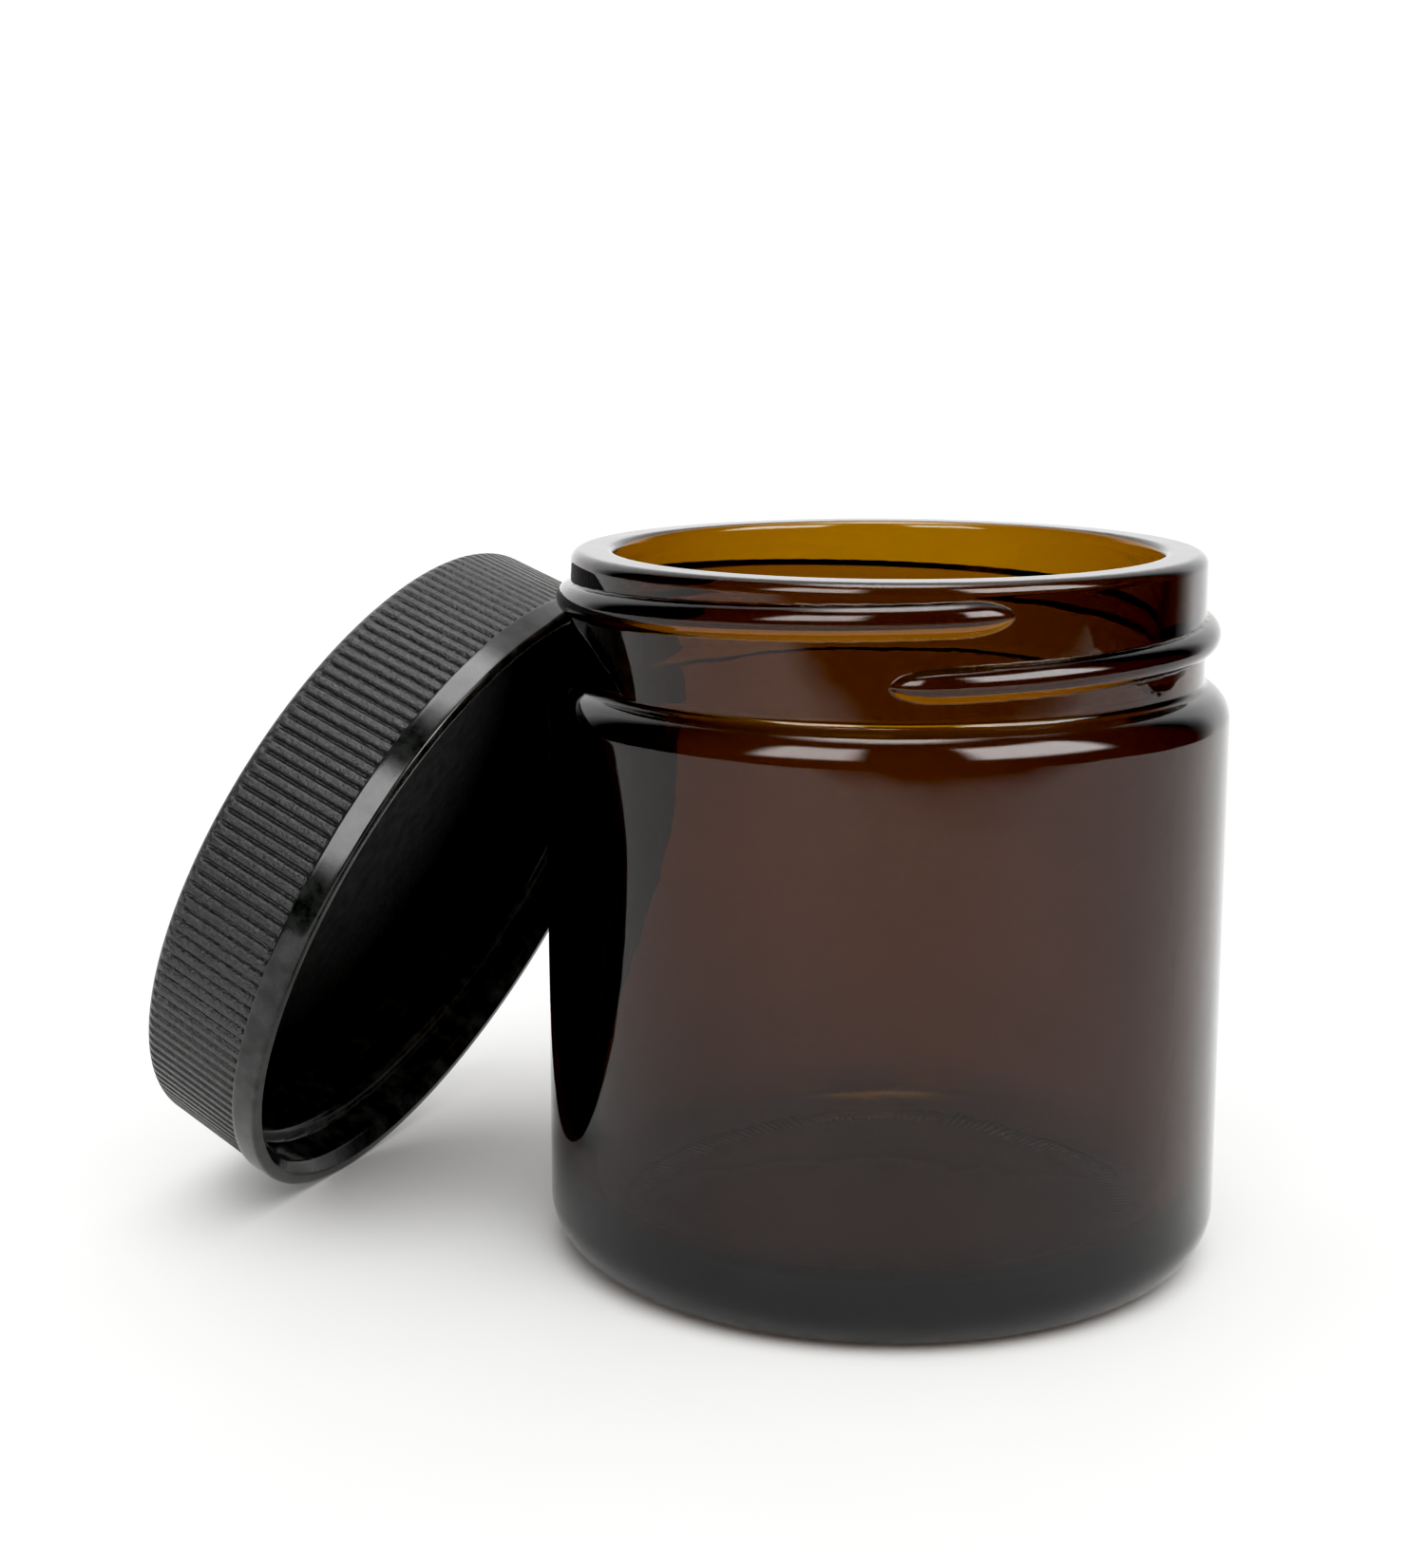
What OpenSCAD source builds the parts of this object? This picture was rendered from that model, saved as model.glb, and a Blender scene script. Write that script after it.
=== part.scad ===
// Straight-sided cream jar with its screw cap off and leaning on the neck.
// Millimetres, +Z up, origin at the centre of the jar's bearing ring, on the jar's axis.
// The cap leans on the -X side of the jar, and its axis lies parallel to the XZ plane.

/* [Jar] */
// Outside diameter of the body
body_d = 59.5; // [59:0.1:60.5]
// Height from the table to the top of the rim
jar_h = 62.6; // [62:0.1:66]
// Height of the shoulder's highest point
shoulder_h = 51.4; // [50.4:0.1:51.6]
// Radius of the rounded shoulder
shoulder_r = 3; // [2.6:0.1:3.2]
// Radius of the rounded heel
heel_r = 5; // [4:0.5:6]
// Thickness of the side wall
wall_t = 4.2; // [3.2:0.1:4.2]
// Thickness of the base at its centre
base_t = 3.4; // [3:0.1:5]
// Height that the middle of the base is pushed up
push_up = 1.2; // [0.6:0.1:2]

/* [Neck] */
// Diameter of the neck behind the thread
neck_d = 55; // [54.6:0.1:55.2]
// Diameter over the thread
thread_d = 57.6; // [57.2:0.1:57.8]
// Rise of the thread in one turn
thread_pitch = 5.08; // [5:0.01:5.2]
// Turns of thread on the neck
thread_turns = 1.055; // [1:0.005:1.1]
// Diameter of the mouth
mouth_d = 47.4; // [46:0.1:48]

/* [Cap] */
// Diameter over the smooth band at the open end
cap_d = 62.2; // [62:0.1:63]
// Height of the cap
cap_h = 13.2; // [13:0.1:14]
// Height of the smooth band
band_h = 2.5; // [2:0.1:2.8]
// Number of grip ribs
rib_count = 160; // [120:1:200]
// Thickness of the closed top
top_t = 1.4; // [1.2:0.1:1.6]
// Thickness of the pulpboard wad
board_t = 0.9; // [0.7:0.1:1]
// Thickness of the film on the wad
facing_t = 0.2; // [0.1:0.05:0.3]

/* [Lean] */
// Angle of the leaning cap's axis above the table
cap_rise = 25.1; // [22:0.1:27]
// Distance that the leaning cap sits towards -Y from the jar's axis
cap_aside = 2.6; // [0:0.1:4]
// Gap between the leaning cap and the neck
lean_gap = 0.15; // [0.1:0.05:0.5]

/* [Hidden] */
$fn = 128;

body_r = body_d / 2;
neck_r = neck_d / 2;
mouth_r = mouth_d / 2;
shoulder_z = shoulder_h - shoulder_r;
rim_outer_r = 1;
rim_inner_r = 0.7;
inner_r = body_r - wall_t;
floor_z = push_up + base_t;
inner_heel_r = 4;
inner_shoulder_r = 2.5;
inner_top_z = shoulder_h - 0.3;
ring_r = body_r - heel_r - 2;
dome_r = (ring_r * ring_r + push_up * push_up) / (2 * push_up);

thread_start = -70.7;
thread_low_z = 54.55;
thread_half_w = 1.4;
thread_h = (thread_d - neck_d) / 2;
thread_root = 0.4;
// Degrees of turn in which the thread rises from nothing to its full height
thread_fade = 11;

cap_r = cap_d / 2;
lip_r = 0.3;
lead_in = 1.1;
grip_r = cap_r - 0.3;
rib_depth = 0.45;
top_edge_r = 1.6;
skirt_r = grip_r - rib_depth;
bore_r = thread_d / 2 + 0.25;
ridge_h = bore_r - neck_r - 0.35;
ridge_half_w = 0.9;
// Degrees from the leaning cap's highest side at which its thread starts
ridge_start = -18;
ridge_low_z = 2.2;
wad_r = bore_r - 0.6;
wad_gap = 0.1;
board_top_z = cap_h - top_t - wad_gap;
facing_top_z = board_top_z - board_t;

cap_z = (cap_r - lip_r) * cos(cap_rise) + lip_r * (1 - sin(cap_rise));
cap_x = -(neck_r + lean_gap + lip_r) - (cap_r - lip_r) * sin(cap_rise) + lip_r * cos(cap_rise);

// One ring of corners of a helical bead: its root in the wall, then an arc over its crest.
// side is 1 for a bead that stands outwards and -1 for one that stands inwards.
function bead_ring(wall, side, height, half_w, low_z, turn, size) = [
    for (t = [-90:45:90])
        let (
            out = size * height * cos(t) - (abs(t) == 90 ? thread_root : 0),
            r = wall + side * out,
            z = low_z + thread_pitch * turn / 360 + size * half_w * sin(t)
        )
        [r * cos(turn), r * sin(turn), z]
];

// Size of the bead at an angle from its start: full, and rounded off towards both ends.
function bead_size(turn, whole) =
    let (near = min(turn, whole - turn, thread_fade) / thread_fade)
    max(0.15, sqrt(1 - (1 - near) * (1 - near)));

// A helical bead on a round wall, turned so that it starts on +X.
module bead(wall, side, height, half_w, low_z, turns) {
    whole = 360 * turns;
    steps = round(whole / 5.5);
    rings = [
        for (i = [0:steps])
            bead_ring(wall, side, height, half_w, low_z, i * whole / steps,
                      bead_size(i * whole / steps, whole))
    ];
    n = len(rings[0]);
    sides = [
        for (i = [0:steps - 1])
            for (j = [0:n - 1])
                let (a = i * n + j, b = i * n + (j + 1) % n)
                each side > 0
                    ? [[a, b, b + n], [a, b + n, a + n]]
                    : [[a, b + n, b], [a, a + n, b + n]]
    ];
    first = [for (j = [0:n - 1]) side > 0 ? n - 1 - j : j];
    last = [for (j = [0:n - 1]) steps * n + (side > 0 ? j : n - 1 - j)];
    polyhedron(points = [for (ring = rings) each ring], faces = concat(sides, [first, last]), convexity = 6);
}

// Half section of a solid of revolution: a box from the axis with its corner rounded.
module rounded_box(r, low, high, top_r, bottom_r) {
    translate([0, low + bottom_r])
        square([r, high - low - top_r - bottom_r]);
    if (top_r > 0) {
        translate([0, low])
            square([r - top_r, high - low]);
        translate([r - top_r, high - top_r])
            circle(top_r);
    }
    if (bottom_r > 0) {
        translate([0, low])
            square([r - bottom_r, high - low]);
        translate([r - bottom_r, low + bottom_r])
            circle(bottom_r);
    }
}

module right_half() {
    intersection() {
        children();
        square(2 * jar_h);
    }
}

module jar_outside() {
    rounded_box(body_r, 0, shoulder_h, shoulder_r, heel_r);
    rounded_box(neck_r, shoulder_z, jar_h, rim_outer_r, 0);
}

module jar_inside() {
    rounded_box(inner_r, floor_z, inner_top_z, inner_shoulder_r, inner_heel_r);
    translate([0, inner_top_z - inner_shoulder_r])
        square([mouth_r, jar_h]);
    // The rounded inner edge of the mouth
    difference() {
        translate([0, jar_h - rim_inner_r])
            square([mouth_r + rim_inner_r, 2 * rim_inner_r]);
        translate([mouth_r + rim_inner_r, jar_h - rim_inner_r])
            circle(rim_inner_r);
    }
    // The pushed-up underside
    translate([0, push_up - dome_r])
        circle(dome_r, $fn = 360);
}

module jar() {
    color([0.30, 0.14, 0.05, 0.85]) {
        rotate_extrude()
            right_half()
                difference() {
                    jar_outside();
                    jar_inside();
                }
        rotate([0, 0, thread_start])
            bead(neck_r, 1, thread_h, thread_half_w, thread_low_z, thread_turns);
    }
}

// The cap's parts are drawn with the open end at z = 0, then leaned on the jar.
module leaned() {
    translate([cap_x, -cap_aside, cap_z])
        rotate([0, cap_rise - 90, 0])
            children();
}

module cap_shell() {
    rotate_extrude()
        right_half()
            difference() {
                union() {
                    rounded_box(cap_r, 0, band_h, 0.2, lip_r);
                    rounded_box(skirt_r + 0.05, 1, cap_h, top_edge_r, 0);
                }
                translate([0, -1])
                    square([bore_r, cap_h - top_t + 1]);
                // The bevel that leads the neck in
                polygon([
                    [bore_r - 1, -1],
                    [bore_r + lead_in, -1],
                    [bore_r + lead_in, 0],
                    [bore_r - 1, lead_in + 1]
                ]);
            }
}

module grip() {
    pitch = 360 / rib_count;
    outline = [
        for (i = [0:rib_count - 1])
            for (half = [0, 1])
                let (a = (i + half / 2) * pitch, r = half == 0 ? grip_r : skirt_r)
                [r * cos(a), r * sin(a)]
    ];
    translate([0, 0, band_h - 0.2])
        linear_extrude(cap_h - top_edge_r - band_h + 0.2)
            difference() {
                polygon(outline);
                circle(bore_r + 0.5);
            }
}

module cap() {
    color([0.09, 0.09, 0.09])
        leaned() {
            cap_shell();
            grip();
            rotate([0, 0, ridge_start])
                bead(bore_r, -1, ridge_h, ridge_half_w, ridge_low_z, 1.1);
        }
}

module disc(r, low, high) {
    translate([0, 0, low])
        cylinder(h = high - low, r = r);
}

module wad_board() {
    color([0.62, 0.56, 0.46])
        leaned()
            disc(wad_r, facing_top_z, board_top_z);
}

module wad_facing() {
    color([0.05, 0.05, 0.05])
        leaned()
            disc(wad_r, facing_top_z - facing_t, facing_top_z);
}

jar();
cap();
wad_board();
wad_facing();
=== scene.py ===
"""A cream jar of amber glass, with its ribbed black cap off and leaning on the neck."""

import math

import bpy
import numpy as np
from mathutils import Matrix, Vector


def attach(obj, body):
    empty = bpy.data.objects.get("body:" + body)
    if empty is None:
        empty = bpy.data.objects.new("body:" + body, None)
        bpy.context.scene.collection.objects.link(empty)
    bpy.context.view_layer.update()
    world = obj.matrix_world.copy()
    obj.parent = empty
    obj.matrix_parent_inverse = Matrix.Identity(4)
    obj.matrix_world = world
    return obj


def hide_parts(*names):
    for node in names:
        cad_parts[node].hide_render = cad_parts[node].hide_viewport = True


MM = 0.001

# The jar, in millimetres, as the CAD has it.
BODY_R = 29.75
BODY_WALL = 4.2
JAR_H = 62.6
SHOULDER_H = 51.4
SHOULDER_R = 3.0
HEEL_R = 5.0
PUSH_UP = 1.2
FLOOR_Z = 4.6
NECK_R = 27.5
MOUTH_R = 23.7
RIM_OUTER_R = 1.0
RIM_INNER_R = 0.7
INNER_R = BODY_R - BODY_WALL
INNER_HEEL_R = 4.0
INNER_SHOULDER_R = 2.5
INNER_TOP_Z = SHOULDER_H - 0.3

# Softer corners than the CAD has, where moulded glass is rounded.
NECK_FILLET_R = 0.6
MOUTH_FILLET_R = 1.5

# The knurls on the bearing ring, which grow and die away between these distances outside the ring.
RING_R = BODY_R - HEEL_R - 2
KNURL_COUNT = 200
KNURL_DEPTH = 0.22
KNURL_GROWS = (-0.4, 0.3)
KNURL_DIES = (1.8, 3.0)

# The slow waves of the inner wall, which grow and die away between these heights. Each has a depth, a number
# of waves in one turn, a twist in radians for each millimetre of height, and a phase.
WAVES = [(0.10, 2, 0.09, 0), (0.05, 5, -0.23, 1)]
WAVES_GROW = (8, 14)
WAVES_DIE = (42, 47)

# The thread on the neck. Its profile is 1 - x ** 2 to the power of its roundness, where 0.5 is an ellipse.
THREAD_H = 1.25
THREAD_HALF_W = 1.4
THREAD_LOW_Z = 54.55
THREAD_PITCH = 5.08
THREAD_START = math.radians(-70.7)
THREAD_SWEEP = math.radians(360 * 1.055)
THREAD_FADE = math.radians(9)
THREAD_ROUNDNESS = 0.6
THREAD_NARROWEST = 0.05

# The cap, in millimetres from its open end, which is at z = 0.
CAP_R = 31.1
CAP_H = 13.2
BAND_H = 2.5
LIP_R = 0.3
LEAD_IN = 1.1
LEAD_IN_EDGE_R = 0.1
LEAD_IN_STEPS = 3
BAND_EDGE_R = 0.2
BAND_CREASE = 0.1
GRIP_R = 30.8
GRIP_TAPER = 0.5
TOP_EDGE_R = 1.6
TOP_T = 1.4
CAP_BORE_R = 29.05
CAP_CORNER_R = 0.4

# The grooves between the cap's ribs, which grow and die away between these heights.
RIB_COUNT = 160
RIB_DEPTH = 0.55
GROOVE_SHARPNESS = 1.2
GROOVE_GROWS = (BAND_H, BAND_H + 0.35)
GROOVE_DIES = (CAP_H - 1.5, CAP_H - 0.5)

# The thread inside the cap.
RIDGE_H = 1.2
RIDGE_HALF_W = 0.9
RIDGE_START = math.radians(-18)
RIDGE_LOW_Z = 2.2
RIDGE_SWEEP = math.radians(360 * 1.1)

# The wad inside the cap.
WAD_R = 28.45
BOARD_LOW_Z = 10.8
BOARD_HIGH_Z = 11.7
BOARD_EDGE_R = 0.2
FILM_T = 0.2
FILM_EDGE_R = 0.08

# The cap leans with its lip on the floor and just clear of the neck.
CAP_RISE = math.radians(25.1)
CAP_ASIDE = 2.6
LEAN_GAP = 0.15
LIP_CENTRE_R = CAP_R - LIP_R
CAP_Z = LIP_CENTRE_R * math.cos(CAP_RISE) + LIP_R * (1 - math.sin(CAP_RISE))
CAP_X = LIP_R * math.cos(CAP_RISE) - LIP_CENTRE_R * math.sin(CAP_RISE) - (NECK_R + LEAN_GAP + LIP_R)

# How many columns and rows the round pieces have; the spacing of rows is in millimetres.
JAR_COLUMNS = 1000
CAP_COLUMNS = 8 * RIB_COUNT
WAD_COLUMNS = 256
WIDE_ROWS = 1.5
KNURL_ROWS = 0.25
THREAD_ROWS = 0.08
RIDGE_ROWS = 0.14
RIB_ROWS = 0.3
BAND_ROWS = 0.3
LEAD_IN_ROWS = 0.25
RIM_ROWS = 0.4
MOUTH_ROWS = 0.8
TOP_ROWS = 1
INNER_TOP_ROWS = 2

# The camera stands to the right of the front, turned a little to the left and looking slightly down.
CAMERA_DISTANCE = 0.228345
CAMERA_HEIGHT = 0.086227
CAMERA_BEARING = math.radians(18.316)
CAMERA_DOWN = math.radians(11.08)
CAMERA_PAN = math.radians(3.81)
CAMERA_LENS = 60.35
SENSOR_WIDTH = 36

# What gloss shows of the room, by angles in degrees from the jar; bearing 0 is -Y and 90 is +X.
ROOM_DARK = 0.01
BACKDROP = {"bearing": 203, "half_width": 54, "low": -105, "high": 62, "softness": 10, "radiance": 1.1}
LEFT_WINDOW = {"bearing": -9, "half_width": 17, "low": 19, "high": 53, "softness": 5, "radiance": 6}
RIGHT_WINDOW = {"bearing": 74, "half_width": 25, "low": 19, "high": 53, "softness": 5, "radiance": 7}
LAMP_OVERHEAD = {"bearing": 190, "half_width": 190, "low": 75, "high": 100, "softness": 7, "radiance": 6}
LAMP_GLOW = {"bearing": 190, "half_width": 70, "low": 62, "high": 78, "softness": 8, "radiance": 1.5}
ROOM_PANELS = [BACKDROP, LEFT_WINDOW, RIGHT_WINDOW, LAMP_OVERHEAD, LAMP_GLOW]

# What everything but gloss sees of the room.
BACKDROP_LIGHT = 1.05
DIFFUSE_LIGHT = 0.85
SUN_LIGHT = 1.5
SUN_BEARING = math.radians(35)
SUN_ELEVATION = math.radians(55)
SUN_ANGLE = math.radians(55)

# The table ends this far from the jar, in metres: near towards its bearing, side towards 90 degrees more,
# and far the other way in both. It fades out at its near edge.
TABLE_BEARING = math.radians(40)
TABLE_NEAR = 0.31
TABLE_SIDE = 0.35
TABLE_FAR = 1.2
TABLE_FADE = 0.08
TABLE_CELLS = 24

# A black level, and a curve through these points, give the picture its hard contrast.
BLACK_LEVEL = 0.004
TONE_CURVE = [(0.05, 0.038), (0.12, 0.105), (0.3, 0.34), (0.6, 0.7)]


# ---------------------------------------------------------------- outlines


def arc(r, z, radius, start, end, steps):
    """Points of an arc about (r, z), from one angle in degrees to another."""
    angles = np.radians(np.linspace(start, end, steps + 1))
    return [(r + radius * math.cos(a), z + radius * math.sin(a)) for a in angles]


def straight(r0, z0, r1, z1, spacing):
    """Points evenly spaced on a straight stretch, without its ends."""
    steps = max(1, round(math.hypot(r1 - r0, z1 - z0) / spacing))
    return [(r0 + (r1 - r0) * i / steps, z0 + (z1 - z0) * i / steps) for i in range(1, steps)]


def joined(*stretches):
    """One outline from several arcs, with straight stretches between them.

    Each stretch is a list of points, or a number: the spacing of the points up to the next one.
    """
    outline = []
    for i, stretch in enumerate(stretches):
        if isinstance(stretch, (int, float)):
            start, end = outline[-1], stretches[i + 1][0]
            outline += straight(*start, *end, stretch)
        else:
            outline += stretch
    return outline


def jar_outline():
    """The jar's half section, from the middle of its underside to the middle of its floor."""
    # A fillet between the round shoulder and the upright neck.
    shoulder_centre_r = BODY_R - SHOULDER_R
    shoulder_centre_z = SHOULDER_H - SHOULDER_R
    aside = NECK_R + NECK_FILLET_R - shoulder_centre_r
    rise = math.sqrt((SHOULDER_R + NECK_FILLET_R) ** 2 - aside ** 2)
    meeting = math.degrees(math.atan2(rise, aside))
    fillet_z = shoulder_centre_z + rise

    # A rounded corner between the mouth and the roof of the inside.
    roof_r = INNER_R - INNER_SHOULDER_R
    roof_z = INNER_TOP_Z - INNER_SHOULDER_R
    mouth_aside = MOUTH_R + MOUTH_FILLET_R - roof_r
    mouth_rise = math.sqrt((INNER_SHOULDER_R + MOUTH_FILLET_R) ** 2 - mouth_aside ** 2)
    mouth_meeting = math.degrees(math.atan2(mouth_rise, mouth_aside))
    mouth_fillet_z = roof_z + mouth_rise

    dome_r = (RING_R ** 2 + PUSH_UP ** 2) / (2 * PUSH_UP)
    dome_edge = math.degrees(math.asin(RING_R / dome_r))
    return joined(
        arc(0, PUSH_UP - dome_r, dome_r, 90, 90 - dome_edge, steps=24),
        KNURL_ROWS,
        arc(BODY_R - HEEL_R, HEEL_R, HEEL_R, -90, 0, steps=28),
        WIDE_ROWS,
        arc(shoulder_centre_r, shoulder_centre_z, SHOULDER_R, 0, meeting, steps=18),
        arc(NECK_R + NECK_FILLET_R, fillet_z, NECK_FILLET_R, 180 + meeting, 180, steps=8)[1:],
        THREAD_ROWS,
        arc(NECK_R - RIM_OUTER_R, JAR_H - RIM_OUTER_R, RIM_OUTER_R, 0, 90, steps=14),
        RIM_ROWS,
        arc(MOUTH_R + RIM_INNER_R, JAR_H - RIM_INNER_R, RIM_INNER_R, 90, 180, steps=8),
        MOUTH_ROWS,
        arc(MOUTH_R + MOUTH_FILLET_R, mouth_fillet_z, MOUTH_FILLET_R, 180, 180 + mouth_meeting, steps=8),
        arc(roof_r, roof_z, INNER_SHOULDER_R, mouth_meeting, 0, steps=12)[1:],
        WIDE_ROWS,
        arc(INNER_R - INNER_HEEL_R, FLOOR_Z + INNER_HEEL_R, INNER_HEEL_R, 0, -90, steps=16),
        WIDE_ROWS,
        [(0, FLOOR_Z)],
    )


def cap_outline():
    """The cap's half section, from the middle of its inner face, round the lip, to the middle of its top."""
    inner_z = CAP_H - TOP_T
    top_r = GRIP_R - GRIP_TAPER
    lead_in_r = CAP_BORE_R + LEAD_IN - LEAD_IN_EDGE_R
    return joined(
        [(0, inner_z)],
        INNER_TOP_ROWS,
        arc(CAP_BORE_R - CAP_CORNER_R, inner_z - CAP_CORNER_R, CAP_CORNER_R, 90, 0, steps=4),
        RIDGE_ROWS,
        [(CAP_BORE_R, LEAD_IN)],
        LEAD_IN_ROWS,
        arc(lead_in_r, LEAD_IN_EDGE_R, LEAD_IN_EDGE_R, 225, 270, steps=LEAD_IN_STEPS),
        LEAD_IN_ROWS,
        arc(LIP_CENTRE_R, LIP_R, LIP_R, -90, 0, steps=6),
        BAND_ROWS,
        arc(CAP_R - BAND_EDGE_R, BAND_H - BAND_EDGE_R, BAND_EDGE_R, 0, 90, steps=4),
        [(GRIP_R + BAND_CREASE / 5, BAND_H + BAND_CREASE / 5), (GRIP_R, BAND_H + BAND_CREASE)],
        RIB_ROWS,
        arc(top_r - TOP_EDGE_R, CAP_H - TOP_EDGE_R, TOP_EDGE_R, 0, 90, steps=12),
        TOP_ROWS,
        [(0, CAP_H)],
    )


def disc_outline(radius, low, high, edge_r):
    """The half section of a flat disc with a rounded edge."""
    return joined(
        [(0, low)],
        TOP_ROWS,
        arc(radius - edge_r, low + edge_r, edge_r, -90, 0, steps=4),
        arc(radius - edge_r, high - edge_r, edge_r, 0, 90, steps=4),
        TOP_ROWS,
        [(0, high)],
    )


# ---------------------------------------------------------------- surfaces


def smoothstep(low, high, value):
    t = np.clip((value - low) / (high - low), 0, 1)
    return t * t * (3 - 2 * t)


def helical_bead(turn, z, height, half_w, low_z, start, sweep):
    """How far a thread of that size stands from its wall at each angle and height."""
    bead = np.zeros_like(z)
    first = np.mod(turn - start, 2 * math.pi)
    for along in (first, first + 2 * math.pi):
        near_end = np.clip(np.minimum(along, sweep - along) / THREAD_FADE, 0, 1)
        size = np.sqrt(1 - (1 - near_end) ** 2)
        middle_z = low_z + THREAD_PITCH * along / (2 * math.pi)
        across = (z - middle_z) / (half_w * np.maximum(size, THREAD_NARROWEST))
        profile = np.clip(1 - across ** 2, 0, 1) ** THREAD_ROUNDNESS
        bead = np.maximum(bead, height * size * profile)
    return bead


def shape_jar(radius, z, turn, row):
    """Adds the thread, the knurled bearing ring and the slow unevenness of pressed glass."""
    outside = row <= np.argmax(z[:, 0])
    inner_wall = ~outside & (radius > MOUTH_R + 1)
    thread = helical_bead(turn, z, THREAD_H, THREAD_HALF_W, THREAD_LOW_Z, THREAD_START, THREAD_SWEEP)
    wave = sum(depth * np.sin(count * turn + twist * z + phase) for depth, count, twist, phase in WAVES)
    wave *= smoothstep(*WAVES_GROW, z) * (1 - smoothstep(*WAVES_DIE, z))
    radius = radius + np.where(outside & (z > SHOULDER_H), thread, 0) + np.where(inner_wall, wave, 0)

    from_ring = radius - RING_R
    on_ring = smoothstep(*KNURL_GROWS, from_ring) - smoothstep(*KNURL_DIES, from_ring)
    knurl = KNURL_DEPTH * on_ring * (0.5 - 0.5 * np.cos(KNURL_COUNT * turn))
    return radius, z + np.where(outside & (z < HEEL_R), knurl, 0)


def shape_cap(radius, z, turn, row):
    """Cuts the grooves between the ribs outside, and adds the thread inside."""
    outside = row > np.argmin(z[:, 0])
    groove = RIB_DEPTH * np.maximum(0, np.cos(RIB_COUNT * turn)) ** GROOVE_SHARPNESS
    groove *= smoothstep(*GROOVE_GROWS, z) * (1 - smoothstep(*GROOVE_DIES, z))
    ridge = helical_bead(turn, z, RIDGE_H, RIDGE_HALF_W, RIDGE_LOW_Z, RIDGE_START, RIDGE_SWEEP)
    return radius - np.where(outside, groove, ridge), z


def shape_flat(radius, z, turn, row):
    """Leaves a round surface as it is."""
    return radius, z


def lathe(name, outline, columns, shape=shape_flat, place=Matrix.Identity(4), finish_of_row=None):
    """A closed round surface from an outline that starts and ends on the axis.

    shape moves its points, and finish_of_row gives the material number of the faces above a row.
    """
    rows = np.array(outline[1:-1])
    count = len(rows)
    angles = np.linspace(0, 2 * math.pi, columns, endpoint=False)
    radius, turn = np.meshgrid(rows[:, 0], angles, indexing="ij")
    z = np.repeat(rows[:, 1:], columns, axis=1)
    row = np.repeat(np.arange(count)[:, None], columns, axis=1)
    radius, z = shape(radius, z, turn, row)
    ring = np.stack([radius * np.cos(turn), radius * np.sin(turn), z], axis=-1).reshape(-1, 3)
    points = np.vstack([ring, [(0, 0, outline[0][1]), (0, 0, outline[-1][1])]]) * MM

    index = np.arange(count * columns).reshape(count, columns)
    ahead = np.roll(index, -1, axis=1)
    quads = np.stack([index[:-1], ahead[:-1], ahead[1:], index[1:]], axis=-1).reshape(-1, 4)
    first, last = len(points) - 2, len(points) - 1
    faces = quads.tolist()
    faces += [(first, b, a) for a, b in zip(index[0], ahead[0])]
    faces += [(last, a, b) for a, b in zip(index[-1], ahead[-1])]

    mesh = bpy.data.meshes.new(name)
    mesh.from_pydata(points.tolist(), [], [tuple(int(v) for v in face) for face in faces])
    mesh.transform(place)
    mesh.shade_smooth()
    if finish_of_row:
        finishes = [finish_of_row(i) for i in range(count - 1) for _ in range(columns)]
        finishes += [finish_of_row(0)] * columns + [finish_of_row(count - 1)] * columns
        mesh.polygons.foreach_set("material_index", finishes)
    mesh.validate()
    mesh.update()
    piece = bpy.data.objects.new(name, mesh)
    bpy.context.collection.objects.link(piece)
    return piece


# ---------------------------------------------------------------- materials


def new_material(name):
    """A material, its node tree and its Principled shader."""
    material = bpy.data.materials.new(name)
    material.use_nodes = True
    tree = material.node_tree
    return material, tree, tree.nodes["Principled BSDF"]


def noise(tree, scale, detail, roughness=0.5):
    """A noise texture in metres, fixed to the piece."""
    place = tree.nodes.new("ShaderNodeTexCoord")
    texture = tree.nodes.new("ShaderNodeTexNoise")
    texture.inputs["Scale"].default_value = scale
    texture.inputs["Detail"].default_value = detail
    texture.inputs["Roughness"].default_value = roughness
    tree.links.new(place.outputs["Object"], texture.inputs["Vector"])
    return texture.outputs["Fac"]


def spread(tree, value, low, high, start=0.3, end=0.7):
    """Maps a value from start..end to low..high."""
    node = tree.nodes.new("ShaderNodeMapRange")
    node.inputs["From Min"].default_value = start
    node.inputs["From Max"].default_value = end
    node.inputs["To Min"].default_value = low
    node.inputs["To Max"].default_value = high
    tree.links.new(value, node.inputs["Value"])
    return node.outputs["Result"]


def between(tree, value, dark, light):
    """A colour between two, by a texture's value."""
    ramp = tree.nodes.new("ShaderNodeValToRGB")
    ramp.color_ramp.elements[0].position = 0.35
    ramp.color_ramp.elements[0].color = (*dark, 1)
    ramp.color_ramp.elements[1].position = 0.65
    ramp.color_ramp.elements[1].color = (*light, 1)
    tree.links.new(value, ramp.inputs["Fac"])
    return ramp.outputs["Color"]


def bump(tree, height, distance, strength=1.0, before=None):
    """A bump of that height in metres, on top of the bump before it."""
    node = tree.nodes.new("ShaderNodeBump")
    node.inputs["Distance"].default_value = distance
    node.inputs["Strength"].default_value = strength
    tree.links.new(height, node.inputs["Height"])
    if before:
        tree.links.new(before, node.inputs["Normal"])
    return node.outputs["Normal"]


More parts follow.
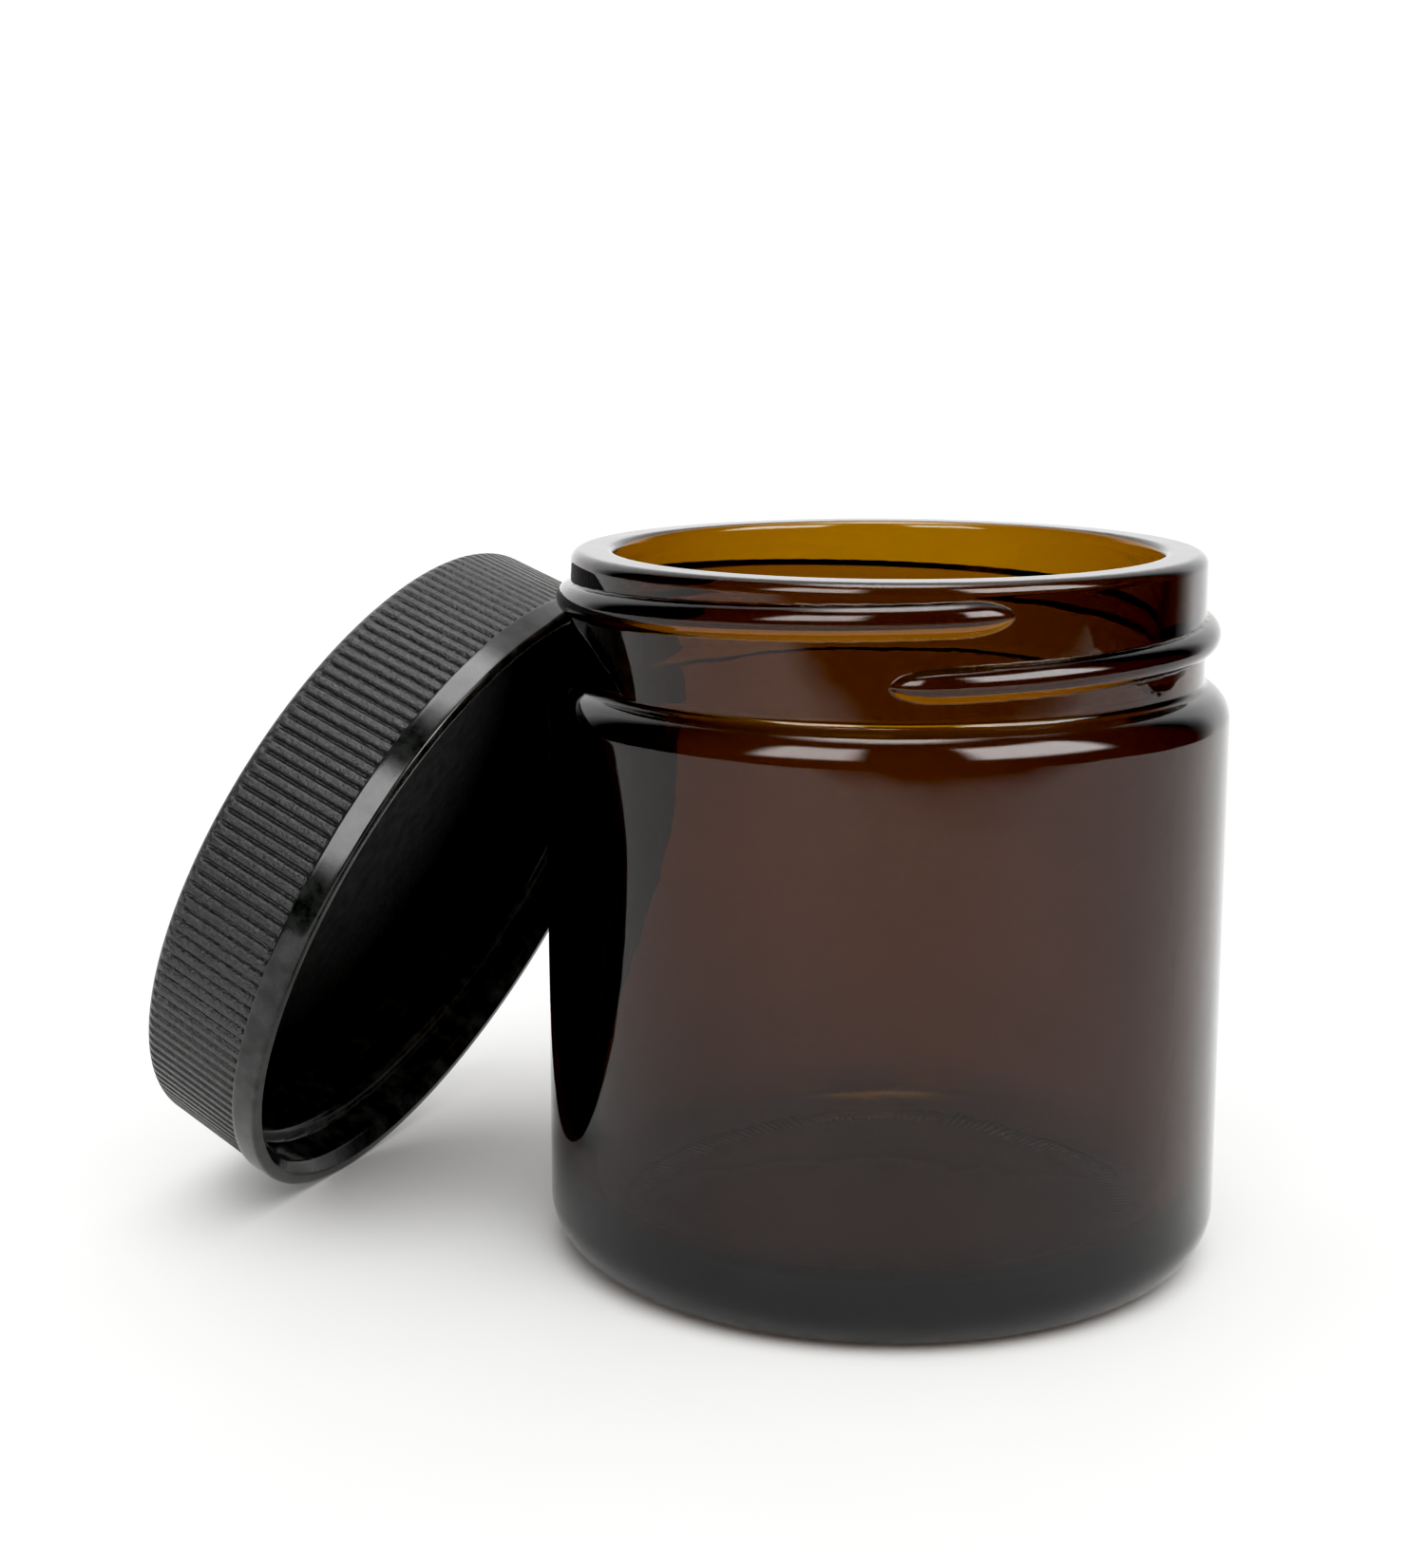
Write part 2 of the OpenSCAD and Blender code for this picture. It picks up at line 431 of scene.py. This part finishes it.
def amber_glass():
    """Clear brown glass whose colour deepens with its thickness."""
    material, tree, shader = new_material("amber_glass")
    shader.inputs["Base Color"].default_value = (1, 1, 1, 1)
    shader.inputs["Transmission Weight"].default_value = 1
    shader.inputs["IOR"].default_value = 1.52
    smudge = spread(tree, noise(tree, scale=90, detail=3), 0.0, 0.035)
    tree.links.new(smudge, shader.inputs["Roughness"])
    slow = bump(tree, noise(tree, scale=120, detail=2), distance=0.00006, strength=0.8)
    fine = bump(tree, noise(tree, scale=900, detail=2), distance=0.000004, strength=0.6, before=slow)
    tree.links.new(fine, shader.inputs["Normal"])
    absorb = tree.nodes.new("ShaderNodeVolumeAbsorption")
    absorb.inputs["Color"].default_value = (0.808, 0.715, 0, 1)
    absorb.inputs["Density"].default_value = 1850
    tree.links.new(absorb.outputs["Volume"], tree.nodes["Material Output"].inputs["Volume"])
    return material


def black_plastic(name, smoothest, roughest, grain, specular=0.5, mottle=500):
    """Black moulded plastic with a grain of that height in metres, mottled in colour and gloss."""
    material, tree, shader = new_material(name)
    blotches = noise(tree, scale=mottle, detail=4, roughness=0.6)
    tone = between(tree, blotches, dark=(0.003, 0.0035, 0.003), light=(0.026, 0.028, 0.026))
    tree.links.new(tone, shader.inputs["Base Color"])
    roughness = spread(tree, noise(tree, scale=260, detail=3), smoothest, roughest)
    tree.links.new(roughness, shader.inputs["Roughness"])
    shader.inputs["IOR"].default_value = 1.49
    shader.inputs["Specular IOR Level"].default_value = specular
    soft = bump(tree, noise(tree, scale=350, detail=2), distance=0.00001)
    pits = noise(tree, scale=3200, detail=3, roughness=0.6)
    sharp = bump(tree, pits, distance=grain, strength=0.8, before=soft)
    tree.links.new(sharp, shader.inputs["Normal"])
    return material


def pulpboard():
    """Grey-brown pressed paper board with short fibres."""
    material, tree, shader = new_material("pulpboard")
    fibres = noise(tree, scale=1400, detail=6, roughness=0.7)
    tone = between(tree, fibres, dark=(0.28, 0.22, 0.15), light=(0.42, 0.35, 0.26))
    tree.links.new(tone, shader.inputs["Base Color"])
    shader.inputs["Roughness"].default_value = 0.9
    nap = bump(tree, noise(tree, scale=2600, detail=4, roughness=0.7), distance=0.00005)
    tree.links.new(nap, shader.inputs["Normal"])
    return material


def facing_film():
    """Black film laminated on board, whose fibres show through as faint bumps."""
    material, tree, shader = new_material("facing_film")
    patches = noise(tree, scale=300, detail=3)
    tone = between(tree, patches, dark=(0.002, 0.002, 0.002), light=(0.004, 0.004, 0.004))
    tree.links.new(tone, shader.inputs["Base Color"])
    shader.inputs["Specular IOR Level"].default_value = 0.12
    roughness = spread(tree, noise(tree, scale=700, detail=3), 0.42, 0.6)
    tree.links.new(roughness, shader.inputs["Roughness"])
    fibres = bump(tree, noise(tree, scale=1500, detail=4, roughness=0.7), distance=0.00002)
    tree.links.new(fibres, shader.inputs["Normal"])
    return material


def table_axes():
    """The directions from the jar to the table's near edge and to its side edge."""
    across, along = math.sin(TABLE_BEARING), math.cos(TABLE_BEARING)
    return Vector((across, -along, 0)), Vector((along, across, 0))


def white_table():
    """Matt white laminate, which fades out at the table's near edge."""
    material, tree, shader = new_material("white_table")
    clouds = noise(tree, scale=30, detail=2)
    tone = between(tree, clouds, dark=(0.90, 0.90, 0.89), light=(0.92, 0.92, 0.91))
    place = tree.nodes.new("ShaderNodeTexCoord")
    outwards = tree.nodes.new("ShaderNodeVectorMath")
    outwards.operation = "DOT_PRODUCT"
    outwards.inputs[1].default_value = table_axes()[0]
    tree.links.new(place.outputs["Object"], outwards.inputs[0])
    solid = spread(tree, outwards.outputs["Value"], 1, 0, TABLE_NEAR - TABLE_FADE, TABLE_NEAR)
    tree.links.new(solid, shader.inputs["Alpha"])
    tree.links.new(tone, shader.inputs["Base Color"])
    shader.inputs["Roughness"].default_value = 0.6
    shader.inputs["Specular IOR Level"].default_value = 0.2
    return material


# ---------------------------------------------------------------- pieces


def build_jar():
    jar = lathe("jar_glass", jar_outline(), JAR_COLUMNS, shape_jar)
    jar.data.materials.append(amber_glass())
    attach(jar, "jar")
    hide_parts("jar")


def leaned():
    """The place of the cap and its wad, which are made with the cap's open end at z = 0."""
    away = Matrix.Translation(Vector((CAP_X, -CAP_ASIDE, CAP_Z)) * MM)
    return away @ Matrix.Rotation(CAP_RISE - math.pi / 2, 4, "Y")


def build_cap():
    outline = cap_outline()
    heights = [z for _, z in outline[1:-1]]
    lip_row = heights.index(min(heights))
    band_top_row = next(i for i in range(lip_row, len(heights)) if heights[i] >= BAND_H)
    grained, polished, inside = range(3)

    def finish_of_row(row):
        # Rows inside the cap, before its lead-in, get the inside finish, whose weak specular is painted
        # shade.
        if row < lip_row - LEAD_IN_STEPS:
            return inside
        return polished if row < band_top_row else grained

    cap = lathe("cap_shell", outline, CAP_COLUMNS, shape_cap, leaned(), finish_of_row)
    cap.data.materials.append(black_plastic("cap_grained", 0.3, 0.36, 0.0002, specular=0.7, mottle=2600))
    cap.data.materials.append(black_plastic("cap_polished", 0.07, 0.12, 0.000002))
    # The inside finish is the same plastic with much weaker specular, which darkens the inside of the cap:
    # painted shade.
    cap.data.materials.append(black_plastic("cap_inside_painted_shade", 0.08, 0.14, 0.000004, specular=0.15))
    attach(cap, "cap")
    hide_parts("cap")


def build_wad():
    board_outline = disc_outline(WAD_R, BOARD_LOW_Z, BOARD_HIGH_Z, BOARD_EDGE_R)
    board = lathe("wad_pulpboard", board_outline, WAD_COLUMNS, place=leaned())
    board.data.materials.append(pulpboard())
    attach(board, "wad")
    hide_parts("wad_board")

    film_outline = disc_outline(WAD_R, BOARD_LOW_Z - FILM_T, BOARD_LOW_Z, FILM_EDGE_R)
    film = lathe("wad_film", film_outline, WAD_COLUMNS, place=leaned())
    film.data.materials.append(facing_film())
    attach(film, "wad")
    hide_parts("wad_facing")


# ---------------------------------------------------------------- studio


def build_camera():
    camera = bpy.data.objects.new("camera", bpy.data.cameras.new("camera"))
    camera.data.lens = CAMERA_LENS
    camera.data.sensor_width = SENSOR_WIDTH
    camera.data.clip_start = 0.005
    camera.location = (
        CAMERA_DISTANCE * math.sin(CAMERA_BEARING),
        -CAMERA_DISTANCE * math.cos(CAMERA_BEARING),
        CAMERA_HEIGHT,
    )
    camera.rotation_euler = (math.pi / 2 - CAMERA_DOWN, 0, CAMERA_BEARING + CAMERA_PAN)
    bpy.context.collection.objects.link(camera)
    bpy.context.scene.camera = camera


def arithmetic(tree, operation, a, b):
    """The output of a math node; a and b are numbers or other outputs."""
    node = tree.nodes.new("ShaderNodeMath")
    node.operation = operation
    for socket, value in zip(node.inputs, (a, b)):
        if isinstance(value, (int, float)):
            socket.default_value = value
        else:
            tree.links.new(value, socket)
    return node.outputs[0]


def soft_step(tree, value, edge, softness):
    """0 below the edge and 1 above it, with a soft change across it; a negative softness swaps the two."""
    node = tree.nodes.new("ShaderNodeMapRange")
    node.interpolation_type = "SMOOTHSTEP"
    node.inputs["From Min"].default_value = edge - abs(softness)
    node.inputs["From Max"].default_value = edge + abs(softness)
    node.inputs["To Min"].default_value = 0 if softness > 0 else 1
    node.inputs["To Max"].default_value = 1 if softness > 0 else 0
    tree.links.new(value, node.inputs["Value"])
    return node.outputs["Result"]


def panel(tree, direction, height, bearing, half_width, low, high, softness, radiance):
    """The light of a soft panel of the room in each direction; its angles are in degrees."""
    turned = math.radians(bearing)
    aside_and_ahead = []
    for axis in ((math.cos(turned), math.sin(turned), 0), (math.sin(turned), -math.cos(turned), 0)):
        node = tree.nodes.new("ShaderNodeVectorMath")
        node.operation = "DOT_PRODUCT"
        node.inputs[1].default_value = axis
        tree.links.new(direction, node.inputs[0])
        aside_and_ahead.append(node.outputs["Value"])
    angle = arithmetic(tree, "ABSOLUTE", arithmetic(tree, "ARCTAN2", *aside_and_ahead), 0)
    soft = math.radians(softness)
    across = soft_step(tree, angle, math.radians(half_width), -soft)
    above = soft_step(tree, height, math.radians(low), soft)
    below = soft_step(tree, height, math.radians(high), -soft)
    inside = arithmetic(tree, "MULTIPLY", across, arithmetic(tree, "MULTIPLY", above, below))
    return arithmetic(tree, "MULTIPLY", inside, radiance)


def build_room():
    """White for anything that looks straight or through glass, and the panels for anything glossy."""
    world = bpy.data.worlds.new("white_room")
    world.use_nodes = True
    tree = world.node_tree
    place = tree.nodes.new("ShaderNodeTexCoord")
    direction = place.outputs["Generated"]
    parts = tree.nodes.new("ShaderNodeSeparateXYZ")
    tree.links.new(direction, parts.inputs[0])
    height = arithmetic(tree, "ARCSINE", parts.outputs["Z"], 0)
    room = ROOM_DARK
    for settings in ROOM_PANELS:
        room = arithmetic(tree, "ADD", room, panel(tree, direction, height, **settings))
    path = tree.nodes.new("ShaderNodeLightPath")
    glossy = path.outputs["Is Glossy Ray"]
    diffuse = path.outputs["Is Diffuse Ray"]
    plain = arithmetic(tree, "MULTIPLY_ADD", diffuse, DIFFUSE_LIGHT - BACKDROP_LIGHT)
    plain.node.inputs[2].default_value = BACKDROP_LIGHT
    strength = tree.nodes.new("ShaderNodeMix")
    tree.links.new(glossy, strength.inputs["Factor"])
    tree.links.new(plain, strength.inputs["A"])
    tree.links.new(room, strength.inputs["B"])
    tree.links.new(strength.outputs["Result"], tree.nodes["Background"].inputs["Strength"])
    tree.nodes["Background"].inputs["Color"].default_value = (1, 1, 1, 1)
    bpy.context.scene.world = world


def build_table():
    outwards, sideways = table_axes()
    near = np.linspace(TABLE_NEAR, -TABLE_FAR, TABLE_CELLS + 1)
    side = np.linspace(TABLE_SIDE, -TABLE_FAR, TABLE_CELLS + 1)
    points = [outwards * a + sideways * b for a in near for b in side]
    pitch = TABLE_CELLS + 1
    corners = [j * pitch + i for j in range(TABLE_CELLS) for i in range(TABLE_CELLS)]
    table = bpy.data.objects.new("table", bpy.data.meshes.new("table"))
    table.data.from_pydata(points, [], [(c, c + 1, c + pitch + 1, c + pitch) for c in corners])
    table.data.materials.append(white_table())
    bpy.context.collection.objects.link(table)


def build_sun():
    """A wide soft light from the front right, which casts the shadows and leaves no highlight of its own."""
    sun = bpy.data.objects.new("sun", bpy.data.lights.new("sun", "SUN"))
    sun.data.energy = SUN_LIGHT
    sun.data.angle = SUN_ANGLE
    towards = Vector((math.sin(SUN_BEARING), -math.cos(SUN_BEARING), math.tan(SUN_ELEVATION)))
    sun.rotation_euler = towards.to_track_quat("Z", "Y").to_euler()
    sun.visible_glossy = False
    sun.visible_transmission = False
    bpy.context.collection.objects.link(sun)


def set_tones():
    view = bpy.context.scene.view_settings
    view.view_transform = "Standard"
    view.use_curve_mapping = True
    tones = view.curve_mapping
    tones.black_level = (BLACK_LEVEL,) * 3
    for dark, light in TONE_CURVE:
        tones.curves[3].points.new(dark, light)
    tones.update()


# ---------------------------------------------------------------- scene

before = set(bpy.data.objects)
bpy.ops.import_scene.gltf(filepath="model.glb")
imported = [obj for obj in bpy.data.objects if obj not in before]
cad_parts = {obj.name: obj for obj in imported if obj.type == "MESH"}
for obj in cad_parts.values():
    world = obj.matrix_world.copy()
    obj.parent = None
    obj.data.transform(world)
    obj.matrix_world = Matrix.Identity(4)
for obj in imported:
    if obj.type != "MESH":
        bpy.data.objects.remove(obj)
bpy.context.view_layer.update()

build_jar()
build_cap()
build_wad()
build_table()
build_room()
build_sun()
build_camera()
set_tones()
